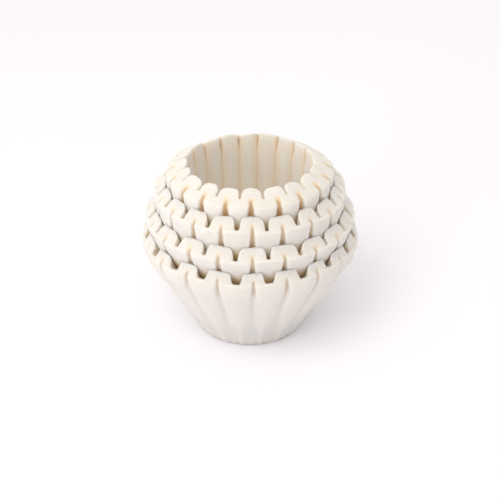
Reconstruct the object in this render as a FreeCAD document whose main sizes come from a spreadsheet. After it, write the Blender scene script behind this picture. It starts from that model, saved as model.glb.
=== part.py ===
import FreeCAD, Part
import math
import os
from FreeCAD import Vector

# A nest of fluted basket coffee filters, standing on its flat base.
# Four bundles of sheets sit one in another, like a stack of cups that was pulled apart a little.
# Every bundle is one solid, because its sheets lie pressed together in the same flutes.
# Z points up, the origin is the centre of the underside, and the front is towards -Y.

doc = FreeCAD.newDocument("basket_filters")
sheet = doc.addObject("Spreadsheet::Sheet", "sizes")

# Driving sizes in millimetres and degrees, and one share
SIZES = [
    ("flute_count", 20, "flutes round every bundle"),
    ("flute_turn", -7.7, "angle of the first tooth from the front"),
    ("base_radius", 40.0, "flat base of the outer bundle"),
    ("base_bevel", 1.6, "height of the bevelled lower edge of a base"),
    ("base_groove", 0.5, "depth that is left of the flutes at a base"),
    ("floor_height", 14.0, "stacked bottoms of one bundle"),
    ("nest_clearance", 0.4, "air between one bundle and the next"),
    ("tooth_wall", 2.4, "sheets pressed together behind a tooth"),
    ("cup_tooth_wall", 8.0, "the same on the inner bundle"),
    ("outer_arch_wall", 2.8, "sheets across an arch of the outer bundle"),
    ("middle_arch_wall", 5.2, "the same on the second and the third bundle"),
    ("cup_arch_wall", 9.0, "the same on the inner bundle"),
    ("slot_width", 2.0, "gap between two teeth at the rim"),
    ("slot_spread", 4.2, "the same gap where the next rim below covers it"),
    ("fade_drop", 14.0, "from the lowest rim down to where its slots have faded to valleys"),
    ("valley_depth", 2.4, "depth of a valley there"),
    ("valley_width", 5.6, "width of a valley"),
    ("valley_floor", 2.2, "width at the back of a valley"),
    ("tooth_round", 2.4, "outer corners of a tooth"),
    ("notch_round", 1.2, "inner corners of a tooth"),
    ("arch_round", 4.2, "shoulders of an arch"),
    ("notch_taper", 0.7, "width at the back of a notch as a share of its mouth"),
    ("rim_drop", 0.8, "fall of the rim across a tooth"),
    ("cup_rim_drop", 3.6, "the same on the inner bundle"),
    ("arch_rise", 6.6, "rise of the rim from a tooth to an arch"),
    ("cup_rise", 4.4, "the same on the inner bundle"),
    ("outer_rim_radius", 79.4, "tooth faces of the outer bundle at its rim"),
    ("second_rim_radius", 76.4, "the same on the second bundle"),
    ("third_rim_radius", 69.3, "the same on the third bundle"),
    ("inner_rim_radius", 60.1, "the same on the inner bundle"),
    ("outer_wall_height", 68.5, "slanting wall of the outer bundle, which stands upright above"),
    ("outer_rim_height", 76.8, "rim over its own base at a tooth of the outer bundle"),
    ("second_rim_height", 79.6, "the same on the second bundle"),
    ("third_rim_height", 84.0, "the same on the third bundle"),
    ("inner_rim_height", 87.0, "the same on the inner bundle"),
    ("outer_arch_radius", 74.0, "inner faces of the outer bundle's arches at the rim"),
    ("second_arch_radius", 68.6, "the same on the second bundle"),
    ("third_arch_radius", 60.4, "the same on the third bundle"),
    ("cup_mouth_radius", 44.5, "the same on the inner bundle, which is the mouth of the cup"),
    ("cup_floor_radius", 39.5, "inside of the inner bundle at its floor"),
    ("outer_notch_width", 9.5, "mouths of the notches in the outer bundle's teeth"),
    ("middle_notch_width", 4.0, "the same on the second and the third bundle"),
    ("cup_notch_width", 1.6, "the same on the inner bundle"),
]

for row, (alias, value, note) in enumerate(SIZES, start=1):
    sheet.set("A%d" % row, note)
    sheet.set("B%d" % row, str(value))
    sheet.setAlias("B%d" % row, alias)
doc.recompute()


def size(alias):
    """Return one driving size from the sheet."""
    return float(sheet.get(alias))


FLUTES = int(size("flute_count"))
HALF_PITCH = math.pi / FLUTES
FLOOR = size("floor_height")
CLEAR = size("nest_clearance")
CORNER_STEPS = 2


def on_line(line, height):
    """Return the radius at a height on a line of (radius, height) points, carried on past its ends."""
    start, end = line[0], line[1]
    if len(line) > 2 and height > end[1]:
        start, end = line[1], line[2]
    return start[0] + (end[0] - start[0]) * (height - start[1]) / (end[1] - start[1])


class Bundle:
    """Sizes of one bundle, in its own frame with the underside of its base at zero height."""

    def __init__(self, name, rim_radius, rim_height, tooth_wall, rim_drop):
        self.name = name
        self.rim_radius = rim_radius
        self.rim_height = rim_height
        self.tooth_wall = tooth_wall
        self.rim_drop = rim_drop

    def set_arches(self, arch_radius, arch_rise, arch_wall, notch_width):
        """Set the sizes of the arches and of the notches between them, and return the bundle."""
        self.arch_radius = arch_radius
        self.arch_rise = arch_rise
        self.arch_wall = arch_wall
        self.notch_width = notch_width
        self.top = self.rim_height + arch_rise
        return self

    def plan_teeth(self, outside):
        """Lay the line of the tooth faces, with a bend where they come free of the bundle outside.

        The levels are the heights of the outlines between the base and the rim.
        """
        edge = (self.rim_radius, self.rim_height - self.rim_drop)
        if outside is None:
            bend = (self.rim_radius, size("outer_wall_height"))
            self.teeth = [(size("base_radius"), 0.0), bend, edge]
            self.levels = [size("base_bevel"), self.rim_height - size("fade_drop"), bend[1]]
        else:
            base = on_line(outside.teeth, FLOOR) - outside.tooth_wall - size("base_groove") - CLEAR
            bend = (outside.arch_radius - CLEAR, outside.top - FLOOR)
            self.teeth = [(base, 0.0), bend, edge]
            self.levels = [bend[1]]

    def plan_arches(self, inside):
        """Lay the line of the arches' inner faces: just clear of the teeth of the bundle inside."""
        if inside is None:
            self.arches = [(size("cup_floor_radius"), FLOOR), (self.arch_radius, self.top)]
        else:
            self.arches = [(radius + CLEAR, height + FLOOR) for radius, height in inside.teeth[:2]]

    def plan_slots(self, outside):
        """Lay the lines of the slots: half widths at the mouth and at the back, and the back's radius."""
        rim = (size("slot_width") / 2, self.rim_height)
        if outside is None:
            fade = self.levels[1]
            mouth = size("valley_width") / 2
            floor = size("valley_floor") / 2
            low = size("base_radius") - size("base_groove")
            faded = on_line(self.teeth, fade) - size("valley_depth")
            deep = self.arch_radius + self.arch_wall
            self.mouths = [(mouth, 0.0), (mouth, fade), rim]
            self.slot_halves = [(floor, 0.0), (floor, fade), rim]
            self.backs = [(low, 0.0), (faded, fade), (deep, self.top)]
        else:
            spread = size("slot_spread") / 2
            self.mouths = [(spread, 0.0), (spread, self.levels[0]), rim]
            self.slot_halves = self.mouths
            self.backs = [(radius + self.arch_wall, height) for radius, height in self.arches]


def rounded_corner(before, corner, after, radius):
    """Return the points of one rounded corner: an arc laid out as CORNER_STEPS equal chords."""
    to_before = (before - corner).normalize()
    to_after = (after - corner).normalize()
    half = to_before.getAngle(to_after) / 2
    start = corner + to_before * (radius / math.tan(half))
    end = corner + to_after * (radius / math.tan(half))
    middle = corner + (to_before + to_after).normalize() * (radius / math.sin(half) - radius)
    return Part.Arc(start, middle, end).toShape().discretize(CORNER_STEPS + 1)


def fluted_outline(outer, outer_half, inner, inner_half, outer_round, inner_round, height):
    """Return the points of a fluted outline: flats at two distances from the axis, joined by legs.

    The halves are half the widths of the outer and inner flats. Their rounds are held within
    the legs and the flats, so that a shallow flute has small ones.
    """
    across = outer * math.sin(HALF_PITCH) - outer_half * math.cos(HALF_PITCH) - inner_half
    along = outer * math.cos(HALF_PITCH) + outer_half * math.sin(HALF_PITCH) - inner
    leg = math.hypot(across, along)
    outer_round = min(outer_round, 0.4 * leg, 0.8 * outer_half)
    inner_round = min(inner_round, 0.4 * leg, 0.8 * inner_half)
    corners = []
    for step in range(2 * FLUTES):
        angle = math.radians(size("flute_turn")) + step * HALF_PITCH
        radius, half = (inner, inner_half) if step % 2 else (outer, outer_half)
        out = Vector(math.sin(angle), -math.cos(angle), 0)
        side = Vector(math.cos(angle), math.sin(angle), 0)
        for sign in (-1, 1):
            corners.append(out * radius + side * (sign * half) + Vector(0, 0, height))
    rounds = (outer_round, outer_round, inner_round, inner_round)
    points = []
    for i, corner in enumerate(corners):
        after = corners[(i + 1) % len(corners)]
        points += rounded_corner(corners[i - 1], corner, after, rounds[i % 4])
    return points


def outside_outline(bundle, height, inset=0.0):
    """Return the outside of a bundle at one height: tooth faces and the slots between them."""
    tooth = on_line(bundle.teeth, height) - inset
    back = min(on_line(bundle.backs, height), tooth - size("base_groove"))
    slot_half = on_line(bundle.slot_halves, height)
    tooth_half = tooth * math.tan(HALF_PITCH) - on_line(bundle.mouths, height) / math.cos(HALF_PITCH)
    return fluted_outline(tooth, tooth_half, back, slot_half, size("tooth_round"), slot_half, height)


def inside_outline(bundle, height):
    """Return the inside of a bundle at one height: notches behind the teeth and arches between."""
    notch = on_line(bundle.teeth, height) - bundle.tooth_wall
    arch = min(on_line(bundle.arches, height), notch - size("base_groove"))
    notch_half = bundle.notch_width * size("notch_taper") / 2
    arch_half = arch * math.tan(HALF_PITCH) - bundle.notch_width / 2 / math.cos(HALF_PITCH)
    return fluted_outline(notch, notch_half, arch, arch_half, size("notch_round"), size("arch_round"), height)


def rim_height(bundle, radius):
    """Return the height of a bundle's rim at a radius: highest inside the arches, falling outwards."""
    notch = bundle.rim_radius - bundle.tooth_wall
    if radius > notch:
        return bundle.rim_height - bundle.rim_drop * (radius - notch) / bundle.tooth_wall
    rise = bundle.arch_rise * (notch - radius) / (notch - bundle.arch_radius)
    return bundle.rim_height + min(rise, bundle.arch_rise)


def trimmed(bundle, low, high):
    """Return the points where the lines from a low to a high outline meet the sloping rim."""
    points = []
    for foot, head in zip(low, high):
        below, above = 0.0, 1.0
        while above - below > 1e-9:
            middle = (below + above) / 2
            point = foot + (head - foot) * middle
            if point.z < rim_height(bundle, math.hypot(point.x, point.y)):
                below = middle
            else:
                above = middle
        points.append(foot + (head - foot) * above)
    return points


def flat_face(*corners):
    """Return the flat face with the given corners."""
    return Part.Face(Part.makePolygon(list(corners) + [corners[0]]))


def side_faces(outlines):
    """Return the sides between each outline and the next, each one flat face or two triangles."""
    faces = []
    for low, high in zip(outlines, outlines[1:]):
        for i in range(len(low)):
            first, second, third, fourth = low[i - 1], low[i], high[i], high[i - 1]
            normal = (second - first).cross(third - first).normalize()
            if abs(normal.dot(fourth - first)) < 1e-7:
                faces.append(flat_face(first, second, third, fourth))
            else:
                faces += [flat_face(first, second, third), flat_face(first, third, fourth)]
    return faces


def add_bundle(bundle, index):
    """Build one bundle: a fluted wall round a thick floor, ending in a sloping rim."""
    over = bundle.top + CLEAR
    bevel = 0.0 if index else size("base_bevel")
    outside = [outside_outline(bundle, 0.0, bevel)]
    outside += [outside_outline(bundle, height) for height in bundle.levels]
    outside.append(trimmed(bundle, outside[-1], outside_outline(bundle, over)))
    inside = [inside_outline(bundle, FLOOR)]
    if index:
        inside.append(inside_outline(bundle, bundle.levels[0]))
    inside.append(trimmed(bundle, inside[-1], inside_outline(bundle, over)))
    faces = side_faces(outside) + side_faces(inside) + [flat_face(*outside[0]), flat_face(*inside[0])]
    outer_rim, inner_rim = outside[-1], inside[-1]
    for i in range(len(outer_rim)):
        faces.append(flat_face(outer_rim[i - 1], outer_rim[i], inner_rim[i]))
        faces.append(flat_face(outer_rim[i - 1], inner_rim[i], inner_rim[i - 1]))
    shell = Part.makeShell(faces)
    shell.sewShape()
    solid = doc.addObject("Part::Feature", bundle.name + "_bundle")
    solid.Label = bundle.name + "_bundle"
    solid.Shape = Part.makeSolid(shell)
    solid.setExpression("Placement.Base.z", "sizes.floor_height * %d" % index)
    return solid


tooth = (size("tooth_wall"), size("rim_drop"))
cup_tooth = (size("cup_tooth_wall"), size("cup_rim_drop"))
rise = size("arch_rise")
outer = Bundle("outer", size("outer_rim_radius"), size("outer_rim_height"), *tooth)
second = Bundle("second", size("second_rim_radius"), size("second_rim_height"), *tooth)
third = Bundle("third", size("third_rim_radius"), size("third_rim_height"), *tooth)
inner = Bundle("inner", size("inner_rim_radius"), size("inner_rim_height"), *cup_tooth)
bundles = [
    outer.set_arches(size("outer_arch_radius"), rise, size("outer_arch_wall"), size("outer_notch_width")),
    second.set_arches(size("second_arch_radius"), rise, size("middle_arch_wall"), size("middle_notch_width")),
    third.set_arches(size("third_arch_radius"), rise, size("middle_arch_wall"), size("middle_notch_width")),
    inner.set_arches(size("cup_mouth_radius"), size("cup_rise"), size("cup_arch_wall"), size("cup_notch_width")),
]
for bundle, outside in zip(bundles, [None] + bundles):
    bundle.plan_teeth(outside)
for bundle, inside in zip(bundles, bundles[1:] + [None]):
    bundle.plan_arches(inside)
for bundle, outside in zip(bundles, [None] + bundles):
    bundle.plan_slots(outside)
parts = [add_bundle(bundle, index) for index, bundle in enumerate(bundles)]
doc.recompute()

# Every object has to be sound before anything is written
for item in doc.Objects:
    if "Invalid" in item.State or "Error" in item.State:
        raise RuntimeError("%s failed: %s" % (item.Name, item.State))
for item in parts:
    if item.Shape.isNull() or not item.Shape.isValid() or len(item.Shape.Solids) != 1:
        raise RuntimeError("%s is not one sound solid" % item.Label)

os.makedirs("parts", exist_ok=True)
for item in parts:
    item.Shape.exportStep("parts/%s.step" % item.Label)
    box = item.Shape.BoundBox
    print("%s: %.1f x %.1f mm, z %.1f to %.1f, volume %.0f mm3" % (
        item.Label, box.XLength, box.YLength, box.ZMin, box.ZMax, item.Shape.Volume))
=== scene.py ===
import logging
import math
from dataclasses import dataclass, field
from enum import Enum

import bmesh
import bpy
import numpy as np
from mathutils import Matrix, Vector


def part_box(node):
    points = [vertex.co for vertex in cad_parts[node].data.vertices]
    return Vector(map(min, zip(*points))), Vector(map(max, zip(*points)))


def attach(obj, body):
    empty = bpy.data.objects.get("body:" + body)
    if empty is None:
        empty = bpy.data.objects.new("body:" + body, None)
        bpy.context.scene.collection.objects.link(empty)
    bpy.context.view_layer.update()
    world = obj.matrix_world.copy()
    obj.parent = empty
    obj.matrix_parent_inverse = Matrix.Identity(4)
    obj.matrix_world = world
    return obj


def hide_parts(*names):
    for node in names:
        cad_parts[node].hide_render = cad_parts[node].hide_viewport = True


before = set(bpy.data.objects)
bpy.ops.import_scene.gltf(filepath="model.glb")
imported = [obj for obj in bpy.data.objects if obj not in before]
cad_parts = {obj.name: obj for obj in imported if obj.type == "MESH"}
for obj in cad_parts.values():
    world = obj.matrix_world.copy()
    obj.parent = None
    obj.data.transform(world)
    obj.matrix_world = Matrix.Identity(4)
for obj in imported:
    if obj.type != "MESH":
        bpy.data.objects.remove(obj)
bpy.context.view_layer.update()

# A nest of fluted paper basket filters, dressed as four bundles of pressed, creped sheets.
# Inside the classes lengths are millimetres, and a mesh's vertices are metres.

LOG = logging.getLogger("filters")
MM = 0.001
FLUTES = 20
HALF_PITCH = math.pi / FLUTES
FLUTE_TURN = math.radians(-7.7)
SETTLE_ROUNDS = 40
SETTLE_STEP = 0.35
FLOOR_EDGE_SHARES = (0.97, 0.9)
BEVEL_TURNS = (0, 30, 60)
CORNER_LEG_SHARE = 0.46
CORNER_TOOTH_SHARE = 0.85
CORNER_ARCH_SHARE = 0.95
RIPPLES = ((23, 0.21), (9, -0.33), (51, -0.13), (5, 0.47))
SHARED_SALT = 2
Line = list[tuple[float, float]]
Ring = tuple[np.ndarray, np.ndarray]
MarkedRing = tuple[np.ndarray, np.ndarray, dict[str, np.ndarray]]


class Stretch(Enum):
    """The stretches of half a flute from the middle of a tooth to that of an arch, and their steps.

    The leg between the two corners is the last step of the tooth's corner.
    """

    TOOTH = 4
    TOOTH_CORNER = 6
    ARCH_CORNER = 8
    ARCH = 3


def linear(hex_colour: str) -> tuple[float, float, float, float]:
    """Turn an sRGB hex colour into Blender's linear RGBA.

    Args:
        hex_colour: Six hex digits, such as "F2EDE4".

    Returns:
        The linear red, green, blue and an alpha of one.
    """
    values = []
    for start in (0, 2, 4):
        value = int(hex_colour[start:start + 2], 16) / 255
        values.append(value / 12.92 if value <= 0.04045 else ((value + 0.055) / 1.055) ** 2.4)
    return (values[0], values[1], values[2], 1.0)


def add_node(tree: bpy.types.NodeTree, kind: str, settings: dict | None = None,
             inputs: dict | None = None) -> bpy.types.Node:
    """Add a shader node with its settings and its inputs.

    Args:
        tree: The node tree that gets the node.
        kind: The node's type name.
        settings: Attribute names and values.
        inputs: Input names or numbers, each with a value or with the socket that feeds it.

    Returns:
        The new node.
    """
    node = tree.nodes.new(kind)
    for name, value in (settings or {}).items():
        setattr(node, name, value)
    for name, value in (inputs or {}).items():
        if isinstance(value, bpy.types.NodeSocket):
            tree.links.new(value, node.inputs[name])
        else:
            node.inputs[name].default_value = value
    return node


@dataclass(frozen=True)
class CrepedPaper:
    """Oxygen-whitened filter paper, about 50 g a square metre, creped on a drying drum.

    It is matt and soft and lets some light through. Where a point lies back in a slot, a notch
    or a crease, its colour is mixed towards honey: painted shade, standing in for the yellowed
    light that reaches there only through other sheets.
    """

    name: str = "creped_filter_paper"
    face: str = "EDE9E3"
    shade: str = "E9E4DC"
    # Painted shade: the honey colour mixed in at the backs of slots, notches and creases.
    painted_shade_colour: str = "F4D8A8"
    edge_line: str = "DDD2C5"
    mottle_mm: float = 9.0
    crepe_mm: float = 1.3
    crepe_stretch: float = 0.45
    fibre_mm: float = 0.45
    fibre_share: float = 0.35
    relief_mm: float = 0.25
    roughness: float = 0.92
    scatter_mm: tuple[float, float, float] = (5.6, 5.1, 4.6)
    lines_across_rim: float = 5.0
    line_width: float = 0.16
    line_strength: float = 0.3
    line_relief: float = -0.6

    def build(self) -> bpy.types.Material:
        """Make the paper's material.

        Returns:
            The material, which reads Object coordinates and the attributes depth, across and rim.
        """
        material = bpy.data.materials.new(self.name)
        material.use_nodes = True
        tree = material.node_tree
        tree.nodes.clear()
        coords = add_node(tree, "ShaderNodeTexCoord")
        painted_shade = add_node(tree, "ShaderNodeAttribute", {"attribute_name": "painted_shade"})
        across = add_node(tree, "ShaderNodeAttribute", {"attribute_name": "across"})
        rim = add_node(tree, "ShaderNodeAttribute", {"attribute_name": "rim"})
        mottle = add_node(tree, "ShaderNodeTexNoise", {}, {
            "Vector": coords.outputs["Object"], "Scale": 1 / (self.mottle_mm * MM), "Detail": 4.0,
            "Roughness": 0.6})
        face = add_node(tree, "ShaderNodeMix", {"data_type": "RGBA"}, {
            "Factor": mottle.outputs["Fac"], 6: linear(self.shade), 7: linear(self.face)})
        # Painted shade: the paper's colour mixed towards the honey colour by the mesh's painted shade
        # share.
        painted_shade_mix = add_node(tree, "ShaderNodeMix", {"data_type": "RGBA"}, {
            "Factor": painted_shade.outputs["Fac"], 6: face.outputs[2], 7: linear(self.painted_shade_colour)})
        line_phase = add_node(tree, "ShaderNodeMath", {"operation": "MULTIPLY_ADD"}, {
            0: across.outputs["Fac"], 1: self.lines_across_rim, 2: mottle.outputs["Fac"]})
        wave = add_node(tree, "ShaderNodeMath", {"operation": "PINGPONG"}, {
            0: line_phase.outputs[0], 1: 0.5})
        line = add_node(tree, "ShaderNodeMapRange", {}, {
            "Value": wave.outputs[0], "From Min": 0.0, "From Max": self.line_width,
            "To Min": 1.0, "To Max": 0.0})
        on_rim = add_node(tree, "ShaderNodeMath", {"operation": "MULTIPLY"}, {
            0: line.outputs[0], 1: rim.outputs["Fac"]})
        faint = add_node(tree, "ShaderNodeMath", {"operation": "MULTIPLY"}, {
            0: on_rim.outputs[0], 1: self.line_strength})
        colour = add_node(tree, "ShaderNodeMix", {"data_type": "RGBA"}, {
            "Factor": faint.outputs[0], 6: painted_shade_mix.outputs[2], 7: linear(self.edge_line)})
        crepe_map = add_node(tree, "ShaderNodeMapping", {}, {
            "Vector": coords.outputs["Object"], "Scale": (1.0, 1.0, self.crepe_stretch)})
        crepe = add_node(tree, "ShaderNodeTexNoise", {}, {
            "Vector": crepe_map.outputs[0], "Scale": 1 / (self.crepe_mm * MM), "Detail": 3.0})
        fibre = add_node(tree, "ShaderNodeTexNoise", {}, {
            "Vector": coords.outputs["Object"], "Scale": 1 / (self.fibre_mm * MM), "Detail": 2.0})
        relief = add_node(tree, "ShaderNodeMath", {"operation": "MULTIPLY_ADD"}, {
            0: fibre.outputs["Fac"], 1: self.fibre_share, 2: crepe.outputs["Fac"]})
        edges = add_node(tree, "ShaderNodeMath", {"operation": "MULTIPLY_ADD"}, {
            0: on_rim.outputs[0], 1: self.line_relief, 2: relief.outputs[0]})
        bump = add_node(tree, "ShaderNodeBump", {}, {
            "Height": edges.outputs[0], "Strength": 0.35, "Distance": self.relief_mm * MM})
        surface = add_node(tree, "ShaderNodeBsdfPrincipled", {}, {
            "Base Color": colour.outputs[2], "Roughness": self.roughness, "Normal": bump.outputs[0],
            "Specular IOR Level": 0.25, "Subsurface Weight": 0.85,
            "Subsurface Radius": tuple(reach * MM for reach in self.scatter_mm), "Subsurface Scale": 1.0,
            "Sheen Weight": 0.08})
        add_node(tree, "ShaderNodeOutputMaterial", {}, {"Surface": surface.outputs[0]})
        return material


@dataclass
class Contour:
    """One closed fluted line in plan: flats at two distances from the axis, joined by legs.

    The rounds are the radii of the corners, and the pillows are how far the middles of the flats
    stand out of them, a tooth's outwards and an arch's towards the axis.
    """

    outer_round: float
    inner_round: float
    pillow: float = 0.0
    arch_pillow: float = 0.0

    def half(self, outer: np.ndarray, outer_half: np.ndarray, inner: np.ndarray, inner_half: np.ndarray
             ) -> np.ndarray:
        """Work out the stations of half a flute, from the middle of its tooth to that of its arch.

        Args:
            outer: Distance of the outer flats from the axis in mm, for each flute and station.
            outer_half: Half the width of the outer flats.
            inner: Distance of the inner flats.
            inner_half: Half the width of the inner flats.

        Returns:
            The plan point of each flute and station, x across and y outwards.
        """
        sin, cos = math.sin(HALF_PITCH), math.cos(HALF_PITCH)
        tooth = np.stack([outer_half, outer], axis=-1)
        arch = np.stack([inner * sin - inner_half * cos, inner * cos + inner_half * sin], axis=-1)
        leg = arch - tooth
        length = np.linalg.norm(leg, axis=-1)
        along = leg / length[..., None]
        first = np.array([1.0, 0.0])
        last = np.array([cos, -sin])
        turn_1 = np.arccos(np.clip(along @ first, -1, 1))
        turn_2 = np.arccos(np.clip(along @ last, -1, 1))
        tan_1, tan_2 = np.tan(turn_1 / 2), np.tan(turn_2 / 2)
        most = CORNER_LEG_SHARE * length
        t_1 = np.minimum(np.minimum(self.outer_round * tan_1, most), CORNER_TOOTH_SHARE * outer_half)
        t_2 = np.minimum(np.minimum(self.inner_round * tan_2, most), CORNER_ARCH_SHARE * inner_half)
        r_1, r_2 = (t_1 / tan_1)[..., None], (t_2 / tan_2)[..., None]
        middle = np.stack([inner * sin, inner * cos], axis=-1)
        outwards = np.array([sin, cos])
        start_1 = tooth - first * t_1[..., None]
        normal_1 = np.array([0.0, -1.0])
        end_1 = tooth + along * t_1[..., None]
        start_2 = arch - along * t_2[..., None]
        end_2 = arch + last * t_2[..., None]
        normal_2 = np.stack([-along[..., 1], along[..., 0]], axis=-1)
        points = np.zeros_like(tooth)
        station = 0
        for stretch in Stretch:
            for step in range(stretch.value):
                share = step / stretch.value
                if stretch is Stretch.TOOTH:
                    here = np.stack([start_1[..., 0] * share, start_1[..., 1]], axis=-1)
                elif stretch is Stretch.TOOTH_CORNER:
                    angle = (turn_1 * share)[..., None]
                    here = start_1 + r_1 * (first * np.sin(angle) + normal_1 * (1 - np.cos(angle)))
                elif stretch is Stretch.ARCH_CORNER:
                    angle = (turn_2 * share)[..., None]
                    here = start_2 + r_2 * (along * np.sin(angle) + normal_2 * (1 - np.cos(angle)))
                else:
                    here = end_2 + (middle - end_2) * share
                points[:, station] = here[:, station]
                if stretch in (Stretch.TOOTH, Stretch.TOOTH_CORNER):
                    off_middle = here[:, station, 0] / end_1[:, station, 0]
                    points[:, station, 1] += self.pillow * bulge(off_middle)
                if stretch in (Stretch.ARCH_CORNER, Stretch.ARCH):
                    reach = np.linalg.norm(start_2[:, station] - middle[:, station], axis=-1)
                    off_middle = np.linalg.norm(here[:, station] - middle[:, station], axis=-1) / reach
                    swell = self.arch_pillow * bulge(np.minimum(off_middle, 1))
                    points[:, station] -= swell[:, None] * outwards
                station += 1
        points[:, station] = middle[:, station] - self.arch_pillow * outwards
        return points


STATIONS = sum(stretch.value for stretch in Stretch) + 1
AROUND = FLUTES * 2 * (STATIONS - 1)


@dataclass
class Wander:
    """The slight unevenness of hand-stacked paper: slow waves round the axis, the same each run."""

    seed: int
    waves: int = 11
    turn_deg: float = 0.55
    radius_mm: float = 0.35
    height_mm: float = 0.7
    ripple_mm: float = 0.22

    def wave(self, angle: np.ndarray, salt: int) -> np.ndarray:
        """Sum a few slow sine waves round the axis.

        Args:
            angle: Angles round the axis, in radians.
            salt: A number that picks another set of phases, of which one is shared by all bundles.

        Returns:
            Values of about minus one to one.
        """
        draw = np.random.default_rng((0 if salt == SHARED_SALT else self.seed) * 100 + salt)
        total = np.zeros_like(angle)
        for count in range(2, 2 + self.waves):
            total += draw.uniform(0.4, 1.0) * np.sin(count * angle + draw.uniform(0, 2 * math.pi))
        return total / math.sqrt(self.waves / 2)

    def apply(self, radius: np.ndarray, angle: np.ndarray, height: np.ndarray, share: np.ndarray
              ) -> tuple[np.ndarray, np.ndarray, np.ndarray]:
        """Move points a little in angle, radius and height.

        Args:
            radius: Distances from the axis.
            angle: Angles round the axis.
            height: Heights over the table.
            share: How far up the wall each point is, from zero at the base to one at the rim.

        Returns:
            The moved radii, angles and heights.
        """
        turned = angle + math.radians(self.turn_deg) * self.wave(angle, 1) * share
        phases = np.random.default_rng(1).uniform(0, 2 * math.pi, len(RIPPLES))
        waves = [np.sin(turns * angle + per_mm * height + phase)
                 for (turns, per_mm), phase in zip(RIPPLES, phases)]
        ripple = waves[0] * waves[1] + waves[2] * waves[3]
        lean = self.radius_mm * self.wave(angle, SHARED_SALT) * share ** 2
        moved = radius + lean + self.ripple_mm * ripple * share
        raised = height + self.height_mm * self.wave(angle, 3) * share ** 3
        return moved, turned, raised


@dataclass(frozen=True)
class PaintedShadeRamps:
    """Ramps of the painted shade: where the honey colour painted into valleys, slots, feet, notches
    and creases starts, and how far it is to the full colour.
    """

    valley_most: float = 0.3
    valley_start: float = 1.2
    valley_reach: float = 3.5
    slot_start: float = 1.0
    slot_reach: float = 5.0
    slot_least: float = 0.2
    foot_drop: float = 3.0
    foot_reach: float = 7.0
    notch_least: float = 0.02
    notch_reach: float = 5.0
    crease_factor: float = 2.8
    rim_reach: float = 7.0


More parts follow.
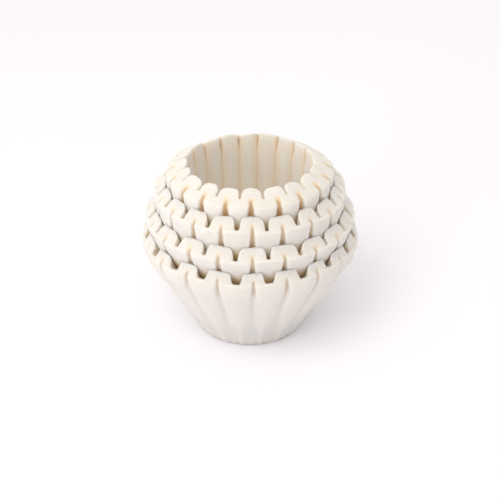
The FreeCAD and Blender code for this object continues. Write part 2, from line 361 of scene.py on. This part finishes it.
@dataclass
class Bundle:
    """One bundle of pressed filters: its sizes, its fluted shell and its dressing.

    A line holds (radius, height) points over the bundle's underside. The teeth are its outer faces,
    the arches its inner ones, and the backs, mouths and slot halves shape the slots between teeth.
    """

    node: str
    rim_radius: float
    rim_height: float
    arch_radius: float
    arch_rise: float
    arch_wall: float
    notch_width: float
    seed: int
    teeth: Line = field(default_factory=list)
    arches: Line = field(default_factory=list)
    backs: Line = field(default_factory=list)
    mouths: Line = field(default_factory=list)
    slot_halves: Line = field(default_factory=list)
    bend: float = 0.0
    lowest: bool = False
    wall_height: float = 68.5
    base_radius: float = 40.0
    base_bevel: float = 1.6
    base_inset: float = 4.8
    base_groove: float = 0.5
    floor: float = 14.0
    clearance: float = 0.4
    hug: float = 0.3
    slot_fill: float = 1.6
    tooth_wall: float = 2.4
    slot_width: float = 2.0
    slot_spread: float = 4.2
    least_half: float = 0.4
    uneven: float = 0.14
    fade_drop: float = 16.0
    valley_depth: float = 3.4
    valley_width: float = 7.0
    valley_floor: float = 2.2
    tooth_round: float = 3.2
    notch_round: float = 1.7
    arch_round: float = 4.6
    notch_taper: float = 0.7
    rim_drop: float = 0.8
    pillow: float = 0.6
    arch_pillow: float = 0.0
    crease_depth: float = 0.0
    crease_fade: float = 8.0
    pocket: float = 4.5
    outer_roll: float = 1.7
    inner_roll: float = 0.9
    tight_roll: float = 0.2
    notch_reach: float = 1.5
    slot_reach: float = 2.5
    rim_start: float = 0.34
    slot_shift: float = 0.16
    rim_end: float = 0.95
    notch_shift: float = 0.19
    sheet_relief: float = 0.05
    rim_from: float = 0.66
    rim_to: float = 0.28
    shade_ramps: PaintedShadeRamps = PaintedShadeRamps()
    outside_rows: int = 18
    roll_rows: int = 5
    rim_rows: int = 9
    inside_rows: int = 14

    @property
    def lift(self) -> float:
        """Height of the bundle's underside over the table."""
        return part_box(self.node)[0][2] / MM

    @property
    def top(self) -> float:
        """Height of the arches over the bundle's underside."""
        return self.rim_height + self.arch_rise

    def plan_teeth(self, outside: "Bundle | None") -> None:
        """Lay the line of the tooth faces, flared above the bundle outside.

        Args:
            outside: The bundle that this one sits in, if there is one.
        """
        edge = (self.rim_radius, self.rim_height - self.rim_drop)
        if outside is None:
            self.lowest = True
            self.bend = self.rim_height - self.fade_drop
            self.teeth = [(self.base_radius, 0.0), (self.rim_radius, self.wall_height), edge]
            return
        inside = on_line(outside.teeth, self.floor) - outside.tooth_wall
        base = inside - self.base_groove - self.clearance
        self.bend = outside.top - self.floor
        self.teeth = [(base, 0.0), (outside.arch_radius - self.clearance, self.bend), edge]

    def plan_arches(self, inside: "Bundle | None", cup_floor: float) -> None:
        """Lay the line of the arches' inner faces, just clear of the bundle inside, and the slots.

        Args:
            inside: The bundle that sits in this one, if there is one.
            cup_floor: Radius of the open cup at its floor, for the bundle with none inside.
        """
        if inside is None:
            self.arches = [(cup_floor, self.floor), (self.arch_radius, self.top)]
        else:
            gap = self.clearance - self.hug
            self.arches = [(radius + gap, height + self.floor) for radius, height in inside.teeth[:2]]
        if self.lowest:
            low = self.base_radius - self.base_groove
            faded = on_line(self.teeth, self.bend) - self.valley_depth
            self.backs = [(low, 0.0), (faded, self.bend), (self.arch_radius + self.arch_wall, self.top)]
            self.mouths = self.narrowing(self.valley_width)
            self.slot_halves = self.narrowing(self.valley_floor)
        else:
            low, high = [(radius + self.arch_wall, height) for radius, height in self.arches]
            filled = on_line([low, high], self.bend) + self.slot_fill
            self.backs = [low, (filled, self.bend), high]
            self.mouths = self.narrowing(self.slot_spread)
            self.slot_halves = self.mouths

    def narrowing(self, width: float) -> Line:
        """Lay the line of half a slot's width, even up to the bend and narrower at the rim.

        Args:
            width: The slot's width up to the bend.

        Returns:
            Half widths with their heights.
        """
        return [(width / 2, 0.0), (width / 2, self.bend), (self.slot_width / 2, self.rim_height)]

    def spread(self, salt: int) -> np.ndarray:
        """Draw how much wider or narrower each flute's gaps are than the others'.

        Args:
            salt: A number that picks another draw.

        Returns:
            One factor for each flute, about one.
        """
        draw = np.random.default_rng(self.seed * 10 + salt)
        return draw.uniform(1 - self.uneven, 1 + self.uneven, FLUTES)[:, None]

    def stations(self, height: np.ndarray, inner: bool, inset: float = 0.0) -> np.ndarray:
        """Work out one ring of plan points.

        Args:
            height: Height of each flute's stations, shaped flutes by stations, both halves alike.
            inner: True for the inside of the bundle, False for its outside.
            inset: How far the ring is drawn in, in mm.

        Returns:
            Plan points shaped flutes by stations by two.
        """
        tan, cos = math.tan(HALF_PITCH), math.cos(HALF_PITCH)
        tooth = on_line(self.teeth, height) - inset
        if inner:
            arch = on_line(self.arches, height)
            notch = tooth - self.tooth_wall
            if self.crease_depth:
                rising = np.maximum(0.0, height - self.rim_height + self.crease_fade)
                notch = np.minimum(notch, arch + self.crease_depth + rising)
            else:
                closed = arch + self.base_groove
                share = np.clip(1 + (height - self.rim_height) / self.pocket, 0, 1)
                notch = closed + (notch - closed) * np.sin(share * math.pi / 2)
            arch = np.minimum(arch, notch - self.base_groove)
            mouth = self.notch_width / 2 * self.spread(1) + 0 * height
            arch_half = arch * tan - mouth / cos
            contour = Contour(self.notch_round, self.arch_round, 0.0, self.arch_pillow)
            return contour.half(notch, mouth * self.notch_taper, arch + self.arch_pillow, arch_half)
        back = np.minimum(on_line(self.backs, height), tooth - self.base_groove)
        mouth = np.maximum(on_line(self.mouths, height), self.least_half) * self.spread(2)
        slot_half = np.maximum(on_line(self.slot_halves, height), self.least_half) * self.spread(2)
        contour = Contour(self.tooth_round, slot_half, self.pillow)
        return contour.half(tooth - self.pillow, tooth * tan - mouth / cos, back, slot_half)

    def rim_height_at(self, radius: np.ndarray) -> np.ndarray:
        """Work out the height of the rim, a cone that falls outwards.

        Args:
            radius: Distances from the axis.

        Returns:
            Heights over the bundle's underside.
        """
        notch = self.rim_radius - self.tooth_wall
        rise = self.arch_rise * (notch - radius) / (notch - self.arch_radius)
        drop = self.rim_drop * (radius - notch) / self.tooth_wall
        return self.rim_height + np.where(radius > notch, -drop, np.minimum(rise, self.arch_rise))

    def rim_ring(self, inner: bool) -> tuple[np.ndarray, np.ndarray]:
        """Find the ring where the inside or the outside meets the rim.

        Args:
            inner: True for the inside, False for the outside.

        Returns:
            Plan points and heights of the ring.
        """
        height = np.full((FLUTES, STATIONS), self.rim_height)
        for _ in range(SETTLE_ROUNDS):
            plan = self.stations(height, inner)
            wanted = self.rim_height_at(np.linalg.norm(plan, axis=-1))
            height = height + SETTLE_STEP * (wanted - height)
        return self.stations(height, inner), height

    def rings(self) -> list[MarkedRing]:
        """Work out all rings, from the underside over the rim to the floor of the cup.

        Returns:
            For each ring its plan points, heights and attributes.
        """
        outer_rim, inner_rim = self.rim_ring(False), self.rim_ring(True)
        sunk = np.ones((FLUTES, STATIONS))
        if not self.crease_depth:
            behind = np.linalg.norm(inner_rim[0], axis=-1) - on_line(self.arches, inner_rim[1])
            sunk = ramp(behind, 0.0, self.notch_reach)
        roll = self.inner_roll * (self.tight_roll + (1 - self.tight_roll) * sunk)
        inner_foot_height = inner_rim[1] - roll
        inner_foot = (self.stations(inner_foot_height, True), inner_foot_height)
        found = self.base_rings() + self.outside_rings(outer_rim[1] - self.outer_roll)
        found += self.rim_rings(found[-1][:2], outer_rim, inner_rim, inner_foot, sunk)
        return found + self.inside_rings(inner_foot_height, inner_rim[1])

    def base_rings(self) -> list[MarkedRing]:
        """Lay the flat underside and the rounded edge round it.

        Returns:
            The rings from the middle outwards.
        """
        flat = np.zeros((FLUTES, STATIONS))
        plain = self.marks(flat, 0, 0)
        found = [(self.stations(flat, False, self.base_inset), flat, plain)]
        for turn in BEVEL_TURNS:
            inset = self.base_bevel * (1 - math.sin(math.radians(turn)))
            height = flat + self.base_bevel * (1 - math.cos(math.radians(turn)))
            found.append((self.stations(height, False, inset), height, plain))
        return found

    def outside_rings(self, last: np.ndarray) -> list[MarkedRing]:
        """Lay the outer faces from the base's edge up to where the rim's roll begins.

        Args:
            last: Heights of the last ring.

        Returns:
            The rings from low to high.
        """
        found = []
        for row in range(self.outside_rows):
            share = row / (self.outside_rows - 1)
            height = self.base_bevel + (last - self.base_bevel) * share
            plan = self.stations(height, False)
            found.append((plan, height, self.marks(self.slot_painted_shade(plan, height), 1, 0)))
        return found

    def rim_rings(self, foot: Ring, outer_rim: Ring, inner_rim: Ring, inner_foot: Ring, sunk: np.ndarray
                  ) -> list[MarkedRing]:
        """Roll the rim over: a soft outer edge, the sheets' pressed ends and a soft inner edge.

        Args:
            foot: Where the outer roll begins.
            outer_rim: The sharp outer edge that the roll replaces.
            inner_rim: The sharp inner edge.
            inner_foot: Where the inner roll ends.
            sunk: One in a notch and zero on an arch, whose edge lies against the bundle inside.

        Returns:
            The rings from the outside in.
        """
        found = []
        back = on_line(self.teeth, outer_rim[1]) - np.linalg.norm(outer_rim[0], axis=-1)
        shift = self.slot_shift * ramp(back, 0.0, self.slot_reach)
        on_rim = blend(outer_rim, inner_rim, self.rim_start - shift)
        off_rim = blend(outer_rim, inner_rim, self.rim_end - self.notch_shift * sunk)
        for row in range(1, self.roll_rows + 1):
            share = row / self.roll_rows
            plan, height = rolled(foot, outer_rim, on_rim, share)
            painted_shade = self.slot_painted_shade(plan, height)
            found.append((plan, height, self.marks(painted_shade, 1 - (1 - self.rim_from) * share, 1)))
        for row in range(1, self.rim_rows):
            share = row / self.rim_rows
            plan, height = blend(on_rim, off_rim, share)
            relief = self.sheet_relief if row % 2 else 0.0
            across = self.rim_from - (self.rim_from - self.rim_to) * share
            found.append((plan, height - relief, self.marks(0 * height, across, 1)))
        for row in range(self.roll_rows + 1):
            share = row / self.roll_rows
            plan, height = rolled(off_rim, inner_rim, inner_foot, share)
            painted_shade = self.notch_painted_shade(plan, height, inner_rim[1])
            found.append((plan, height, self.marks(painted_shade, self.rim_to * (1 - share), 1)))
        return found

    def inside_rings(self, first: np.ndarray, top: np.ndarray) -> list[MarkedRing]:
        """Lay the inner faces down to the floor, and the floor's edge.

        Args:
            first: Heights where the rim's roll ended.
            top: The rim's heights.

        Returns:
            The rings from high to low, and then inwards.
        """
        found = []
        for row in range(1, self.inside_rows):
            share = row / (self.inside_rows - 1)
            height = first + (self.floor - first) * share
            plan = self.stations(height, True)
            found.append((plan, height, self.marks(self.notch_painted_shade(plan, height, top), 0, 0)))
        for share in FLOOR_EDGE_SHARES:
            found.append((plan * share, height, self.marks(0 * height, 0, 0)))
        return found

    def marks(self, painted_shade: np.ndarray, across: float, rim: float) -> dict[str, np.ndarray]:
        """Collect a ring's attributes.

        Args:
            painted_shade: How deep in a slot or notch each point lies, from zero to one.
            painted_shade: The share of painted shade at each point, from zero to one, more further back
                in a slot or notch.

        Returns:
            The attributes' names with their values.
        """
        return {"painted_shade": painted_shade, "across": np.full_like(painted_shade, across), "rim": np.full_like(painted_shade, rim)}

    def slot_painted_shade(self, plan: np.ndarray, height: np.ndarray) -> np.ndarray:
        """Work out how much painted shade the outside's points get, more further back in a slot.

        Args:
            plan: The ring's plan points.
            height: The ring's heights.

        Returns:
            Shares of painted shade, from zero on a tooth face to one at the back of a slot low down, and
        rising to one on the face below the bend, inside the notch of the bundle outside.
        """
        shade_ramps = self.shade_ramps
        back = on_line(self.teeth, height) - np.linalg.norm(plan, axis=-1)
        # The outer bundle: a light painted shade in its valleys, near the rim only.
        if self.lowest:
            near_rim = ramp(height, self.bend, self.fade_drop)
            return shade_ramps.valley_most * ramp(back, shade_ramps.valley_start, shade_ramps.valley_reach) * near_rim
        # Painted shade in the slots grows downwards to the bend, and below it the tooth face, in the
        # notch of the bundle outside, is painted in shade too.
        down = ramp(self.top - height, 0.0, self.top - self.bend)
        shown = shade_ramps.slot_least + (1 - shade_ramps.slot_least) * down
        foot = ramp(self.bend - shade_ramps.foot_drop - height, 0.0, shade_ramps.foot_reach)
        return np.maximum(ramp(back, shade_ramps.slot_start, shade_ramps.slot_reach) * shown, foot)

    def notch_painted_shade(self, plan: np.ndarray, height: np.ndarray, top: np.ndarray) -> np.ndarray:
        """Work out how much painted shade the inside's points get in a notch or in the cup's creases.

        Args:
            plan: The ring's plan points.
            height: The ring's heights.
            top: The rim's heights.

        Returns:
            Shares of painted shade, from zero on the rim to one at the back of a notch or a crease.
        """
        shade_ramps = self.shade_ramps
        back = np.linalg.norm(plan, axis=-1) - on_line(self.arches, height)
        # Painted shade grows with the distance behind the arches, over the creases' width in the cup and
        # over a set reach in the notches, and fades out towards the rim.
        deepest = self.crease_depth * shade_ramps.crease_factor or shade_ramps.notch_reach
        return np.clip(shade_ramps.notch_least + back / deepest, 0, 1) * ramp(top - height, 0.0, shade_ramps.rim_reach)

    def ring_points(self, plan: np.ndarray, height: np.ndarray, wander: Wander) -> np.ndarray:
        """Turn half flutes into one closed ring of points.

        Args:
            plan: Plan points of half flutes.
            height: Their heights over the bundle's underside.
            wander: The bundle's unevenness.

        Returns:
            The ring's points in metres, in order round the axis.
        """
        radius = np.linalg.norm(plan, axis=-1)
        off = np.arctan2(plan[..., 0], plan[..., 1])
        tooth = FLUTE_TURN + 2 * HALF_PITCH * np.arange(FLUTES)[:, None]
        radius = around(radius)
        height = around(height)
        angle = around(tooth - off, tooth + off)
        share = np.clip(height / self.top, 0, 1)
        radius, angle, height = wander.apply(radius, angle, height, share)
        across, along = radius * np.sin(angle), -radius * np.cos(angle)
        return MM * np.stack([across, along, height + self.lift], axis=-1)

    def build(self, material: bpy.types.Material) -> bpy.types.Object:
        """Build the bundle's shell, ring after ring, and put it in place of its solid.

        Args:
            material: The paper.

        Returns:
            The finished piece.
        """
        wander = Wander(self.seed)
        bm = bmesh.new()
        # Each vertex carries a share of painted shade for slots, notches and creases, its place across
        # the pressed sheets, and whether it is on the rim.
        layers = {name: bm.verts.layers.float.new(name) for name in ("painted_shade", "across", "rim")}
        loop = bmesh.ops.create_circle(bm, cap_ends=True, segments=AROUND, radius=1.0)["verts"]
        edges = [edge for edge in bm.edges]
        for number, (plan, height, marks) in enumerate(self.rings()):
            if number:
                grown = bmesh.ops.extrude_edge_only(bm, edges=edges)["geom"]
                fresh = {vert for vert in grown if isinstance(vert, bmesh.types.BMVert)}
                edges = [edge for edge in grown if isinstance(edge, bmesh.types.BMEdge)
                         and edge.verts[0] in fresh and edge.verts[1] in fresh]
                loop = follow(loop, fresh)
            points = self.ring_points(plan, height, wander)
            values = {name: around(marks[name]) for name in layers}
            for index, vert in enumerate(loop):
                vert.co = Vector(points[index])
                for name, layer in layers.items():
                    vert[layer] = float(values[name][index])
        bmesh.ops.contextual_create(bm, geom=edges)
        bmesh.ops.recalc_face_normals(bm, faces=bm.faces)
        mesh = bpy.data.meshes.new(self.node + "_paper")
        bm.to_mesh(mesh)
        bm.free()
        mesh.shade_smooth()
        piece = bpy.data.objects.new(self.node + "_paper", mesh)
        bpy.context.scene.collection.objects.link(piece)
        mesh.materials.append(material)
        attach(piece, "root")
        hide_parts(self.node)
        LOG.info("%s: %d faces", piece.name, len(mesh.polygons))
        return piece


def bulge(share: np.ndarray) -> np.ndarray:
    """Shape a soft swelling.

    Args:
        share: How far from its middle to its edge each point lies.

    Returns:
        Values from one in the middle to zero at the edge.
    """
    return 0.5 * (1 + np.cos(math.pi * share))


def ramp(value: np.ndarray, start: float | np.ndarray, length: float) -> np.ndarray:
    """Rise from zero to one over a length.

    Args:
        value: The values that are looked up.
        start: The value where the rise begins.
        length: How far it is to one.

    Returns:
        Shares from zero to one.
    """
    return np.clip((value - start) / length, 0, 1)


def blend(low: Ring, high: Ring, share: float | np.ndarray) -> Ring:
    """Find the ring part of the way from one ring to another.

    Args:
        low: Plan points and heights of the first ring.
        high: Those of the second.
        share: How far along, from zero to one, for all points or for each.

    Returns:
        Plan points and heights.
    """
    each = np.broadcast_to(np.asarray(share, dtype=float), low[1].shape)
    return low[0] + (high[0] - low[0]) * each[..., None], low[1] + (high[1] - low[1]) * each


def rolled(start: Ring, corner: Ring, end: Ring, share: float) -> Ring:
    """Find a ring on the soft bend that takes the place of a corner.

    Args:
        start: The ring where the bend begins.
        corner: The sharp corner.
        end: The ring where the bend ends.
        share: How far along, from zero to one.

    Returns:
        Plan points and heights.
    """
    return blend(blend(start, corner, share), blend(corner, end, share), share)


def on_line(line: Line, height: np.ndarray | float) -> np.ndarray | float:
    """Find the radius on a line of (radius, height) points, carried on past its ends.

    Args:
        line: Two or three points, from low to high.
        height: One height or many.

    Returns:
        The radius at each height.
    """
    (r_0, h_0), (r_1, h_1) = line[0], line[1]
    radius = r_0 + (r_1 - r_0) * (height - h_0) / (h_1 - h_0)
    if len(line) > 2:
        r_2, h_2 = line[2]
        upper = r_1 + (r_2 - r_1) * (height - h_1) / (h_2 - h_1)
        radius = np.where(np.asarray(height) > h_1, upper, radius)
    return radius


def around(right: np.ndarray, other: np.ndarray | None = None) -> np.ndarray:
    """Lay half flutes out as one ring, from each flute's left arch over its tooth.

    Args:
        right: Values of the half flutes that are read backwards, on the left.
        other: Values of the half flutes on the right, if they differ.

    Returns:
        One value for each vertex of the ring.
    """
    second = right if other is None else other
    return np.concatenate([right[:, :0:-1], second[:, :-1]], axis=1).reshape(-1)


def follow(loop: list[bmesh.types.BMVert], fresh: set[bmesh.types.BMVert]) -> list[bmesh.types.BMVert]:
    """Put a new ring's vertices in the order of the ring that it grew from.

    Args:
        loop: The old ring in order.
        fresh: The new ring's vertices.

    Returns:
        The new ring in order.
    """
    return [next(edge.other_vert(vert) for edge in vert.link_edges if edge.other_vert(vert) in fresh)
            for vert in loop]


@dataclass
class Studio:
    """A white floor, soft light from the left and above, and the camera at the photograph's angle.

    The camera's distances are millimetres; the lamps' and the floor's are metres.
    """

    camera_distance: float = 791.0
    elevation_deg: float = 29.2
    sight_height: float = 76.0
    aim_height: float = 58.6
    focal_mm: float = 77.6
    key_power: float = 2.2
    key_size: float = 0.6
    key_place: tuple[float, float, float] = (-0.40, -0.55, 1.0)
    fill_power: float = 2.9
    fill_size: float = 0.7
    fill_place: tuple[float, float, float] = (-0.85, -1.10, 0.30)
    lamp_aim: float = 0.07
    world_strength: float = 0.50
    zenith_strength: float = 0.66
    side_contrast: float = 0.16
    world_colour: str = "FFFDFA"
    floor_size: float = 3.0
    floor_colour: str = "F7F5F9"
    floor_lift: float = 0.04

    def build_floor(self) -> bpy.types.Object:
        """Lay the floor.

        Returns:
            The floor, which isn't part of the object.
        """
        bm = bmesh.new()
        bmesh.ops.create_grid(bm, x_segments=1, y_segments=1, size=self.floor_size)
        mesh = bpy.data.meshes.new("floor")
        bm.to_mesh(mesh)
        bm.free()
        floor = bpy.data.objects.new("floor", mesh)
        bpy.context.scene.collection.objects.link(floor)
        material = bpy.data.materials.new("white_card")
        material.use_nodes = True
        tree = material.node_tree
        tree.nodes.clear()
        path = add_node(tree, "ShaderNodeLightPath")
        card = add_node(tree, "ShaderNodeBsdfDiffuse", {}, {
            "Color": linear(self.floor_colour), "Roughness": 1.0})
        shown = add_node(tree, "ShaderNodeMath", {"operation": "MULTIPLY"}, {
            0: path.outputs["Is Camera Ray"], 1: self.floor_lift})
        glow = add_node(tree, "ShaderNodeEmission", {}, {"Strength": shown.outputs[0]})
        both = add_node(tree, "ShaderNodeAddShader", {}, {0: card.outputs[0], 1: glow.outputs[0]})
        add_node(tree, "ShaderNodeOutputMaterial", {}, {"Surface": both.outputs[0]})
        mesh.materials.append(material)
        return floor

    def build_light(self) -> None:
        """Light the object with a high key, a low fill and a world that is brightest overhead."""
        world = bpy.data.worlds.new("studio")
        world.use_nodes = True
        tree = world.node_tree
        tree.nodes.clear()
        path = add_node(tree, "ShaderNodeLightPath")
        coords = add_node(tree, "ShaderNodeTexCoord")
        axes = add_node(tree, "ShaderNodeSeparateXYZ", {}, {0: coords.outputs["Generated"]})
        slope = add_node(tree, "ShaderNodeMath", {"operation": "MULTIPLY_ADD"}, {
            0: axes.outputs["X"], 1: -self.side_contrast, 2: self.world_strength})
        dome = add_node(tree, "ShaderNodeMath", {"operation": "MULTIPLY_ADD"}, {
            0: axes.outputs["Z"], 1: self.zenith_strength, 2: slope.outputs[0]})
        soft = add_node(tree, "ShaderNodeBackground", {}, {
            "Color": linear(self.world_colour), "Strength": dome.outputs[0]})
        white = add_node(tree, "ShaderNodeBackground", {}, {"Color": (1, 1, 1, 1), "Strength": 1.0})
        seen = add_node(tree, "ShaderNodeMath", {"operation": "ADD", "use_clamp": True}, {
            0: path.outputs["Is Camera Ray"], 1: path.outputs["Is Glossy Ray"]})
        mix = add_node(tree, "ShaderNodeMixShader", {}, {
            0: seen.outputs[0], 1: soft.outputs[0], 2: white.outputs[0]})
        add_node(tree, "ShaderNodeOutputWorld", {}, {"Surface": mix.outputs[0]})
        bpy.context.scene.world = world
        self.add_lamp("key", self.key_power, self.key_size, self.key_place)
        self.add_lamp("fill", self.fill_power, self.fill_size, self.fill_place)

    def add_lamp(self, name: str, power: float, size: float, place: tuple[float, float, float]) -> None:
        """Hang a round soft lamp that points at the object.

        Args:
            name: The lamp's name.
            power: Its power in watts.
            size: Its diameter in metres.
            place: Where it hangs, in metres.
        """
        data = bpy.data.lights.new(name, "AREA")
        data.shape = "DISK"
        data.size = size
        data.energy = power
        lamp = bpy.data.objects.new(name, data)
        lamp.location = place
        sight = Vector((0, 0, self.lamp_aim)) - lamp.location
        lamp.rotation_euler = sight.to_track_quat("-Z", "Y").to_euler()
        bpy.context.scene.collection.objects.link(lamp)

    def build_camera(self) -> None:
        """Set the camera where the photograph's was."""
        data = bpy.data.cameras.new("camera")
        data.sensor_width = 36.0
        data.lens = self.focal_mm
        camera = bpy.data.objects.new("camera", data)
        tilt = math.radians(self.elevation_deg)
        camera.location = MM * Vector((0, -self.camera_distance * math.cos(tilt),
                                       self.sight_height + self.camera_distance * math.sin(tilt)))
        aim = Vector((0, 0, self.aim_height * MM))
        camera.rotation_euler = (aim - camera.location).to_track_quat("-Z", "Y").to_euler()
        bpy.context.scene.collection.objects.link(camera)
        bpy.context.scene.camera = camera


def main() -> None:
    """Build the four bundles from the outside in, then the studio."""
    logging.basicConfig(level=logging.INFO)
    paper = CrepedPaper().build()
    bundles = [
        Bundle("outer_bundle", rim_radius=79.4, rim_height=76.8, arch_radius=74.0, arch_rise=6.6,
               arch_wall=2.8, notch_width=9.5, seed=1, notch_round=2.4, pillow=1.3),
        Bundle("second_bundle", rim_radius=76.4, rim_height=79.6, arch_radius=68.6, arch_rise=6.6,
               arch_wall=5.2, notch_width=4.0, seed=2),
        Bundle("third_bundle", rim_radius=69.3, rim_height=84.0, arch_radius=60.4, arch_rise=6.6,
               arch_wall=5.2, notch_width=4.0, seed=3),
        Bundle("inner_bundle", rim_radius=60.1, rim_height=87.0, arch_radius=44.5, arch_rise=4.4,
               arch_wall=9.0, notch_width=1.4, seed=4, arch_round=6.0, tooth_wall=8.0, rim_drop=3.6,
               inner_roll=1.8, crease_depth=1.5, arch_pillow=0.7),
    ]
    for bundle, outside in zip(bundles, [None] + bundles):
        bundle.plan_teeth(outside)
    for bundle, inside in zip(bundles, bundles[1:] + [None]):
        bundle.plan_arches(inside, cup_floor=39.5)
        bundle.build(paper)
    studio = Studio()
    studio.build_floor()
    studio.build_light()
    studio.build_camera()
    bpy.context.scene.view_settings.view_transform = "Standard"


if __name__ == "__main__":
    main()
